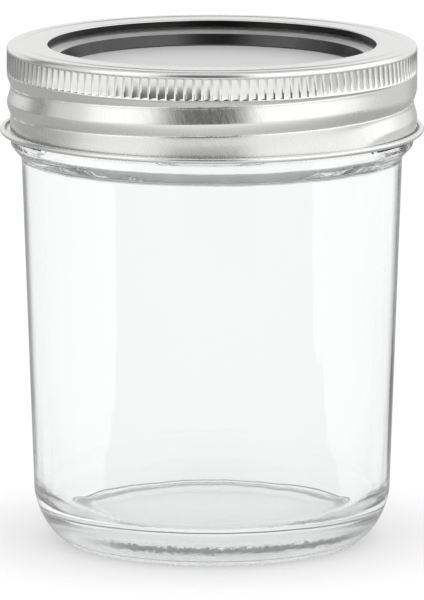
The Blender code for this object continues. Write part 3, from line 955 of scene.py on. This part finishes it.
class JAR_OT_pressed_glass_jar(bpy.types.Operator):
    """Adds the pressed glass jar with its screw finish, transfer ring, heel and notched foot"""

    bl_idname = "jar.pressed_glass_jar"
    bl_label = "Pressed glass jar"

    def execute(self, context):
        sizes = context.scene.jar_glass_sizes
        closure = context.scene.jar_closure_sizes
        collar_top = BAND_BOX[0].z - COLLAR_GAP
        body_top = collar_top - COLLAR_FOOT
        taper = (sizes.body_top_radius - sizes.body_foot_radius) / (body_top - sizes.heel_rise)
        wall_top = sizes.body_top_radius - sizes.wall
        wall_foot = wall_top - taper * (body_top - sizes.floor_height)
        rest_outer = sizes.body_foot_radius - sizes.heel_reach
        rest_inner = rest_outer - REST_WIDTH
        inside = self.inside_points(sizes, wall_foot, wall_top, body_top)
        outside = self.outside_points(sizes, collar_top)
        below = self.heel_points(sizes, rest_outer) + self.foot_points(sizes, rest_outer, rest_inner)
        obj = start_ring("pressed_glass_jar", inside[0], GLASS_COLUMNS)
        close_on_axis()
        select_where("verts", lambda vert: vert.co.length_squared > (inside[0].x / 2) ** 2)
        extrude_rings(inside + outside[:1])
        root = sizes.finish_radius - NEAR
        cut_rows(inside[-1].y - collar_top, THREAD_ROWS, root)
        low = collar_top + NEAR
        select_where("verts", lambda vert: vert.co.z < low and vert.co.xy.length > root)
        extrude_rings(outside + below)
        close_on_axis()
        self.press_notches(rest_outer, rest_inner)
        close_seams((GLASS_BOX[1].x, 0.0, collar_top - COLLAR_EDGE_MIDDLE), (1.0, 0.0, 0.0))
        ridge = Helix(
            BAND_BOX[1].z - BEAD_DROP + RIDGE_LIFT,
            closure.thread_pitch,
            RIDGE_END_DEG,
            RIDGE_FADE_DEG,
            sizes.thread_width / 2,
            sizes.thread_width / 2,
            0.0,
        )
        press_helix(obj, ridge, sizes.finish_radius, sizes.thread_height)
        self.ripple(obj, sizes, body_top)
        colours = context.scene.jar_colours
        materials = [
            fire_polished_glass_painted_edge(colours),
            plunger_glass(colours),
            # The underside's grey and the seam's dark grey are painted shade over their real
            # roughness.
            rough_glass_painted_shade(colours.underside, "soda_lime_glass_underside", 0.06),
            rough_glass_painted_shade(colours.seam, "soda_lime_glass_bottom_seam", 0.2),
            glass_with_painted_heel_line(colours),
        ]
        finish_piece(obj, materials, "jar", "glass_jar")
        for face in obj.data.polygons:
            face.material_index = self.glass_at(face, sizes, wall_foot, rest_outer, rest_inner)
        return {"FINISHED"}

    def inside_points(self, sizes, wall_foot, wall_top, body_top):
        """From the middle of the floor up the wall and the bore, and over the lip to the thread."""
        top = GLASS_BOX[1].z
        lip_radius = sizes.finish_radius - LIP_STEP
        bore_radius = sizes.finish_radius - sizes.bore_wall
        return softened(
            [
                (wall_foot - sizes.floor_corner - FLOOR_FLAT, sizes.floor_height, 0.0),
                (wall_foot, sizes.floor_height, sizes.floor_corner),
                (wall_top, body_top + SHOULDER_FOOT, SHOULDER_ROUND),
                (bore_radius, body_top + SHOULDER_TOP, SHOULDER_ROUND),
                (bore_radius, top, LIP_ROUND),
                (lip_radius, top, LIP_ROUND),
                (lip_radius, top - LIP_ROUND, 0.0),
                (sizes.finish_radius, top - LIP_DEPTH, 0.0),
            ],
            steps=8,
        )

    def outside_points(self, sizes, collar_top):
        """From the thread's root over the transfer ring and down the body to the heel."""
        collar_radius = GLASS_BOX[1].x
        return softened(
            [
                (sizes.finish_radius, collar_top, 0.0),
                (collar_radius, collar_top - COLLAR_SLOPE, COLLAR_TOP_ROUND),
                (collar_radius, collar_top - COLLAR_EDGE_FOOT, COLLAR_EDGE_ROUND),
                (sizes.body_top_radius, collar_top - COLLAR_HOLLOW_FOOT, COLLAR_HOLLOW_ROUND),
                (sizes.body_foot_radius, sizes.heel_rise, 0.0),
            ]
        )

    def heel_points(self, sizes, rest_outer):
        """Down the rounded heel to the small step over the resting ring."""
        rise = sizes.heel_rise - sizes.foot_step
        points = []
        for degrees in range(HEEL_STEP_DEG, 90 + HEEL_STEP_DEG, HEEL_STEP_DEG):
            angle = math.radians(degrees)
            radius = rest_outer + sizes.heel_reach * math.cos(angle) ** HEEL_DRAW
            height = sizes.foot_step + rise * (1.0 - math.sin(angle) ** HEEL_DRAW)
            points.append(Vector((radius, height)))
        return points

    def foot_points(self, sizes, rest_outer, rest_inner):
        """Across the resting ring and up into the push-up."""
        return softened(
            [
                (rest_outer - REST_INSET, 0.0, 0.0),
                (rest_inner, 0.0, 0.0),
                (rest_inner - PUSH_UP_SLOPE, sizes.push_up / 2, 0.0),
                (rest_inner - PUSH_UP_CORNER, sizes.push_up, PUSH_UP_ROUND),
                (rest_inner - PUSH_UP_FLAT, sizes.push_up, 0.0),
            ],
            steps=5,
        )

    def press_notches(self, outer, inner):
        """Lifts every second column of the resting ring, which leaves its short radial notches."""

        def every_second(vert):
            column = round(math.atan2(vert.co.y, vert.co.x) / math.tau * GLASS_COLUMNS)
            on_ring = inner - NOTCH_MARGIN < vert.co.xy.length < outer - NOTCH_MARGIN
            return on_ring and vert.co.z < NEAR and column % 2 == 0

        select_where("verts", every_second)
        bpy.ops.transform.translate(value=(0.0, 0.0, NOTCH_DEPTH))

    def ripple(self, obj, sizes, body_top):
        """Lets the mould's surface wander, most under the transfer ring, less round the heel."""

        def wander(place):
            over_rest = eased(place.z / RIPPLE_REST_FADE)
            under_band = eased((BAND_BOX[0].z - place.z) / RIPPLE_BAND_FADE)
            collar = eased((place.z - body_top + RIPPLE_COLLAR_REACH) / RIPPLE_COLLAR_FADE)
            heel = eased((sizes.heel_rise + RIPPLE_HEEL_REACH - place.z) / RIPPLE_HEEL_FADE)
            inset = place.xy.length - sizes.body_foot_radius + RIPPLE_FOOT_REACH
            heel *= eased(inset / RIPPLE_FOOT_FADE)
            return max(
                HEEL_RIPPLE_SHARE * heel * over_rest,
                collar * under_band,
                BODY_RIPPLE_SHARE * over_rest * under_band,
            )

        group = weigh(obj, "ripple", wander)
        clouds = bpy.data.textures.new("mould_ripple", "CLOUDS")
        clouds.noise_scale = RIPPLE_SPACING
        apply_modifier(
            obj,
            "DISPLACE",
            strength=sizes.ripple / RIPPLE_MIDDLE_SHARE,
            mid_level=RIPPLE_MIDDLE_SHARE,
            vertex_group=group,
            texture=clouds,
            texture_coords="LOCAL",
        )

    def glass_at(self, face, sizes, wall_foot, rest_outer, rest_inner):
        """Which glass a face has: 0 outside, 1 inside, 2 underside, 3 foot's seam, 4 heel's line; 2
        and 3 are partly painted shade, and 4 wholly.
        """
        height = face.center.z
        reach = face.center.xy.length
        lean = face.center.xy.dot(face.normal.xy)
        if lean > 0.0 and reach > rest_outer:
            if sizes.foot_step < height < sizes.foot_step + SEAM_WIDTH:
                return 3
            if abs(height - HEEL_LINE_HEIGHT) < HEEL_LINE_REACH:
                return 4
        on_push_up = height < sizes.push_up + FACE_MARGIN and reach < rest_inner - FACE_MARGIN
        if on_push_up and face.normal.z < -PUSH_UP_FACING:
            return 2
        in_hollow = sizes.floor_height - FACE_MARGIN < height < GLASS_BOX[1].z - FACE_MARGIN
        if in_hollow and (lean < 0.0 or reach < wall_foot - FLOOR_FLAT):
            return 1
        return 0


class JAR_OT_stamped_lid(bpy.types.Operator):
    """Adds the stamped tinplate lid with its sunk panel, ramp, rim and turned-down edge"""

    bl_idname = "jar.stamped_lid"
    bl_label = "Stamped lid"

    def execute(self, context):
        sizes = context.scene.jar_closure_sizes
        colours = context.scene.jar_colours
        rim_top = LID_BOX[1].z
        panel_top = rim_top - PANEL_DROP
        lid_radius = LID_BOX[1].x
        wall_foot = sizes.panel_radius - PANEL_WALL_LEAN
        profile = softened(
            [
                (sizes.panel_radius - PANEL_MIDDLE, panel_top, 0.0),
                (sizes.panel_radius - PANEL_FLAT, panel_top, 0.0),
                (wall_foot, panel_top, PANEL_ROUND),
                (sizes.panel_radius, rim_top - RAMP_DROP, RAMP_ROUND),
                (RIM_INNER - STEP_WIDTH, rim_top - STEP_DROP, STEP_ROUND),
                (RIM_INNER, rim_top, RIM_ROUND),
                (RIM_INNER + RIM_FLAT, rim_top, 0.0),
                (lid_radius - RIM_FLAT, rim_top, 0.0),
                (lid_radius, rim_top, LID_EDGE_ROUND),
                (lid_radius, rim_top - LID_EDGE_DROP, 0.0),
            ]
        )
        obj = start_ring("stamped_lid", profile[0], BAND_COLUMNS)
        close_on_axis()
        select_where("verts", lambda vert: vert.co.xy.length > profile[0].x / 2)
        extrude_rings(profile)
        close_seams((0.0, 0.0, panel_top), (0.0, 0.0, 1.0))
        apply_modifier(
            obj, "SOLIDIFY", thickness=sizes.lid_sheet, offset=-1.0, use_even_offset=True
        )
        materials = [
            rolled_tinplate(colours.tinplate, "tinplate_lid_rim", 0.24, 0.02),
            # The panel's paler colour is painted light.
            rolled_tinplate(colours.panel, "tinplate_lid_panel_lacquered", 0.50, 0.02, 0.5),
            # The sunk wall's dark grey is painted shade.
            rolled_tinplate(colours.drawn_wall, "tinplate_lid_wall_drawn", 0.30, 0.04),
            rolled_tinplate(colours.tinplate, "tinplate_lid_ramp_satin", 0.44, 0.06, 0.8),
        ]
        finish_piece(obj, materials, "lid", "lid_disc")
        panel_end = wall_foot - LACQUER_MARGIN
        wall_end = sizes.panel_radius + FACE_MARGIN
        ramp_end = RIM_INNER - STEP_WIDTH - FACE_MARGIN
        for face in obj.data.polygons:
            reach = face.center.xy.length
            if reach < ramp_end:
                face.material_index = 1 if reach < panel_end else 2 if reach < wall_end else 3
        return {"FINISHED"}


class JAR_OT_sealing_ring(bpy.types.Operator):
    """Adds the ring of sealing compound flowed in under the lid's rim"""

    bl_idname = "jar.sealing_ring"
    bl_label = "Sealing ring"

    def execute(self, context):
        low, high = SEAL_BOX[0].z, SEAL_BOX[1].z
        outer = SEAL_BOX[1].x
        middle_of_top = (RIM_INNER + SEAL_START, high, 0.0)
        profile = softened(
            [
                middle_of_top,
                (outer, high, SEAL_TOP_ROUND),
                (outer, low + SEAL_CROWN, SEAL_FOOT_ROUND),
                ((RIM_INNER + outer) / 2, low, SEAL_CROWN_ROUND),
                (RIM_INNER, low + SEAL_CROWN, SEAL_FOOT_ROUND),
                (RIM_INNER, high, SEAL_TOP_ROUND),
                middle_of_top,
            ],
            steps=4,
        )
        obj = start_ring("flowed_sealing_ring", profile[0], BAND_COLUMNS)
        extrude_rings(profile)
        close_seams((outer, 0.0, (low + high) / 2), (1.0, 0.0, 0.0))
        compound = flowed_plastisol(context.scene.jar_colours)
        finish_piece(obj, [compound], "lid", "sealing_ring")
        return {"FINISHED"}


class JAR_OT_knurled_screw_band(bpy.types.Operator):
    """Adds the screw band: hemmed opening, knurled shoulder, rolled thread and curled foot"""

    bl_idname = "jar.knurled_screw_band"
    bl_label = "Knurled screw band"

    def execute(self, context):
        sizes = context.scene.jar_closure_sizes
        top = BAND_BOX[1].z
        foot = BAND_BOX[0].z
        radius = sizes.band_radius
        knurl_top = top - KNURL_DROP
        knurl_foot = knurl_top - sizes.knurl_height
        skirt_top = knurl_foot - SHOULDER_STRIP
        skirt_foot = foot + SKIRT_FOOT
        upper = self.top_points(sizes, top, knurl_top)
        wall = [Vector((radius, height)) for height in (knurl_foot, skirt_top, skirt_foot)]
        obj = start_ring("knurled_screw_band", upper[0], BAND_COLUMNS)
        extrude_rings(upper + wall + self.curl_points(radius, foot, sizes.band_sheet))
        cut_rows(skirt_top - skirt_foot, BEAD_ROWS)
        self.press_knurls(sizes, knurl_top, knurl_foot)
        close_seams((radius, 0.0, (skirt_top + knurl_foot) / 2), (1.0, 0.0, 0.0))
        bead = Helix(
            top - BEAD_DROP,
            sizes.thread_pitch,
            BEAD_END_DEG,
            BEAD_FADE_DEG,
            sizes.bead_above,
            sizes.bead_below,
            FIRST_TURN_SPREAD,
        )
        press_helix(obj, bead, radius, -sizes.bead_depth, skirt_top)
        apply_modifier(
            obj, "SOLIDIFY", thickness=sizes.band_sheet, offset=-1.0, use_even_offset=True
        )
        colours = context.scene.jar_colours
        materials = [
            stoned_tinplate(colours),
            rolled_tinplate(colours.tinplate, "tinplate_band_top", 0.24, 0.02),
            # The hem's near-black inside is painted shade.
            rolled_tinplate(colours.hem_painted_shade, "tinplate_band_hem_dull", 0.35, 0.03),
            rolled_tinplate(colours.tinplate, "tinplate_knurl_rolled", 0.17, 0.02),
        ]
        finish_piece(obj, materials, "band", "screw_band")
        for face in obj.data.polygons:
            height = face.center.z
            if height > knurl_top + KNURL_BEVEL:
                on_hem = face.center.xy.length < sizes.opening_radius + FACE_MARGIN
                face.material_index = 2 if on_hem and height < top - HEM_LIP else 1
            elif height > knurl_foot - FACE_MARGIN:
                face.material_index = 3
        return {"FINISHED"}

    def top_points(self, sizes, top, knurl_top):
        """From the hem up over the flat top, its pressed ring and the corner, to the knurl."""
        groove = sizes.band_radius - GROOVE_INSET
        return softened(
            [
                (sizes.opening_radius - HEM_LEAN, top - HEM_DROP, 0.0),
                (sizes.opening_radius + HEM_BULGE, top, HEM_ROUND),
                (groove - GROOVE_REACH, top, GROOVE_EDGE_ROUND),
                (groove, top - GROOVE_DEPTH, GROOVE_FLOOR_ROUND),
                (groove + GROOVE_REACH, top, GROOVE_EDGE_ROUND),
                (sizes.band_radius, top, CORNER_ROUND),
                (sizes.band_radius, knurl_top, 0.0),
            ]
        )

    def curl_points(self, radius, foot, sheet):
        """From the skirt's foot outward, round and up, to the raw edge over the skirt's side."""
        hollow = CURL_RADIUS - sheet
        centre = Vector((BAND_BOX[1].x - CURL_RADIUS, foot + CURL_RADIUS))
        arcs = ((centre.x - radius, range(180, 271, 18)), (hollow, range(300, 501, 20)))
        points = []
        for reach, turns in arcs:
            for angle in map(math.radians, turns):
                points.append(centre + Vector((reach * math.cos(angle), hollow * math.sin(angle))))
        return points

    def press_knurls(self, sizes, above, below):
        """Insets a pocket in each column of the shoulder and presses its floors in."""
        row_middle = (above + below) / 2
        tall = (above - below) * TALL_SHARE

        def on_row(face):
            heights = [vert.co.z for vert in face.verts]
            return abs(max(heights) - above) < NEAR and abs(min(heights) - below) < NEAR

        select_where("faces", on_row)
        bpy.ops.mesh.inset(
            thickness=sizes.knurl_ridge, depth=0.0, use_individual=True, use_even_offset=True
        )
        bm = bmesh.from_edit_mesh(bpy.context.object.data)
        pockets = [face for face in bm.faces if face.select]
        floors = {face.index for face in pockets}
        steep = set()
        high = set()
        for face in pockets:
            centre = face.calc_center_median()
            steep |= {vert.index for vert in face.verts if centre.cross(vert.co).z > 0.0}
            high |= {vert.index for vert in face.verts if vert.co.z > row_middle}
        for side, depth in ((steep, sizes.knurl_depth), (high, KNURL_TILT)):
            share = 1.0 - depth / sizes.band_radius
            select_where("verts", lambda vert, side=side: vert.index in side)
            bpy.ops.transform.resize(value=(share, share, 1.0), center_override=(0.0, 0.0, above))
        bm = bmesh.from_edit_mesh(bpy.context.object.data)
        bm.faces.ensure_lookup_table()
        rims = {edge.index for index in floors for edge in bm.faces[index].edges}

        def pocket_edge(edge):
            heights = [vert.co.z for vert in edge.verts]
            upright = max(heights) - min(heights) > tall
            return edge.index in rims or upright and below - NEAR < heights[0] < above + NEAR

        select_where("edges", pocket_edge)
        bpy.ops.mesh.bevel(offset=KNURL_BEVEL, segments=2, profile=0.5, clamp_overlap=True)


class JAR_OT_studio(bpy.types.Operator):
    """Adds the floor, the studio's soft boxes and flags, and the camera"""

    bl_idname = "jar.studio"
    bl_label = "Studio"

    def execute(self, context):
        sizes = context.scene.jar_stage_sizes
        bpy.ops.object.select_all(action="DESELECT")
        bpy.ops.mesh.primitive_plane_add(size=sizes.floor_size, location=(0.0, 0.0, 0.0))
        floor = context.object
        floor.name = floor.data.name = "studio_floor"
        floor.data.materials.append(studio_floor(context.scene.jar_colours, sizes))
        context.scene.world = studio_world()
        bpy.ops.object.camera_add(
            location=(0.0, -sizes.camera_distance, sizes.camera_height),
            rotation=(math.pi / 2 - sizes.camera_tilt, 0.0, 0.0),
        )
        camera = context.object
        camera.name = camera.data.name = "front_camera"
        camera.data.sensor_fit = "VERTICAL"
        camera.data.sensor_height = FRAME_HEIGHT
        camera.data.lens = sizes.camera_lens
        camera.data.clip_start = NEAR_CLIP
        context.scene.camera = camera
        context.scene.view_settings.view_transform = "Standard"
        paths = context.scene.cycles
        paths.max_bounces = LIGHT_BOUNCES
        paths.glossy_bounces = LIGHT_BOUNCES
        paths.transmission_bounces = LIGHT_BOUNCES
        return {"FINISHED"}


OPERATORS = (
    JAR_OT_pressed_glass_jar,
    JAR_OT_stamped_lid,
    JAR_OT_sealing_ring,
    JAR_OT_knurled_screw_band,
    JAR_OT_studio,
)
SETTINGS = {
    "jar_glass_sizes": JarGlassSizes,
    "jar_closure_sizes": JarClosureSizes,
    "jar_colours": JarColours,
    "jar_stage_sizes": JarStageSizes,
}


class JAR_PT_parts(bpy.types.Panel):
    """Lists the jar's pieces and their settings"""

    bl_idname = "JAR_PT_parts"
    bl_label = "Preserving jar"
    bl_space_type = "VIEW_3D"
    bl_region_type = "UI"
    bl_category = "Jar"

    def draw(self, context):
        for operator in OPERATORS:
            self.layout.operator(operator.bl_idname)
        for name, group in SETTINGS.items():
            box = self.layout.box()
            for setting in group.__annotations__:
                box.prop(getattr(context.scene, name), setting)


def register():
    for cls in (*SETTINGS.values(), *OPERATORS, JAR_PT_parts):
        bpy.utils.register_class(cls)
    for name, group in SETTINGS.items():
        setattr(bpy.types.Scene, name, bpy.props.PointerProperty(type=group))


def unregister():
    for name in SETTINGS:
        delattr(bpy.types.Scene, name)
    for cls in (JAR_PT_parts, *reversed(OPERATORS), *reversed(SETTINGS.values())):
        bpy.utils.unregister_class(cls)


def main():
    register()
    bpy.ops.jar.pressed_glass_jar()
    bpy.ops.jar.stamped_lid()
    bpy.ops.jar.sealing_ring()
    bpy.ops.jar.knurled_screw_band()
    bpy.ops.jar.studio()


if __name__ == "__main__":
    main()
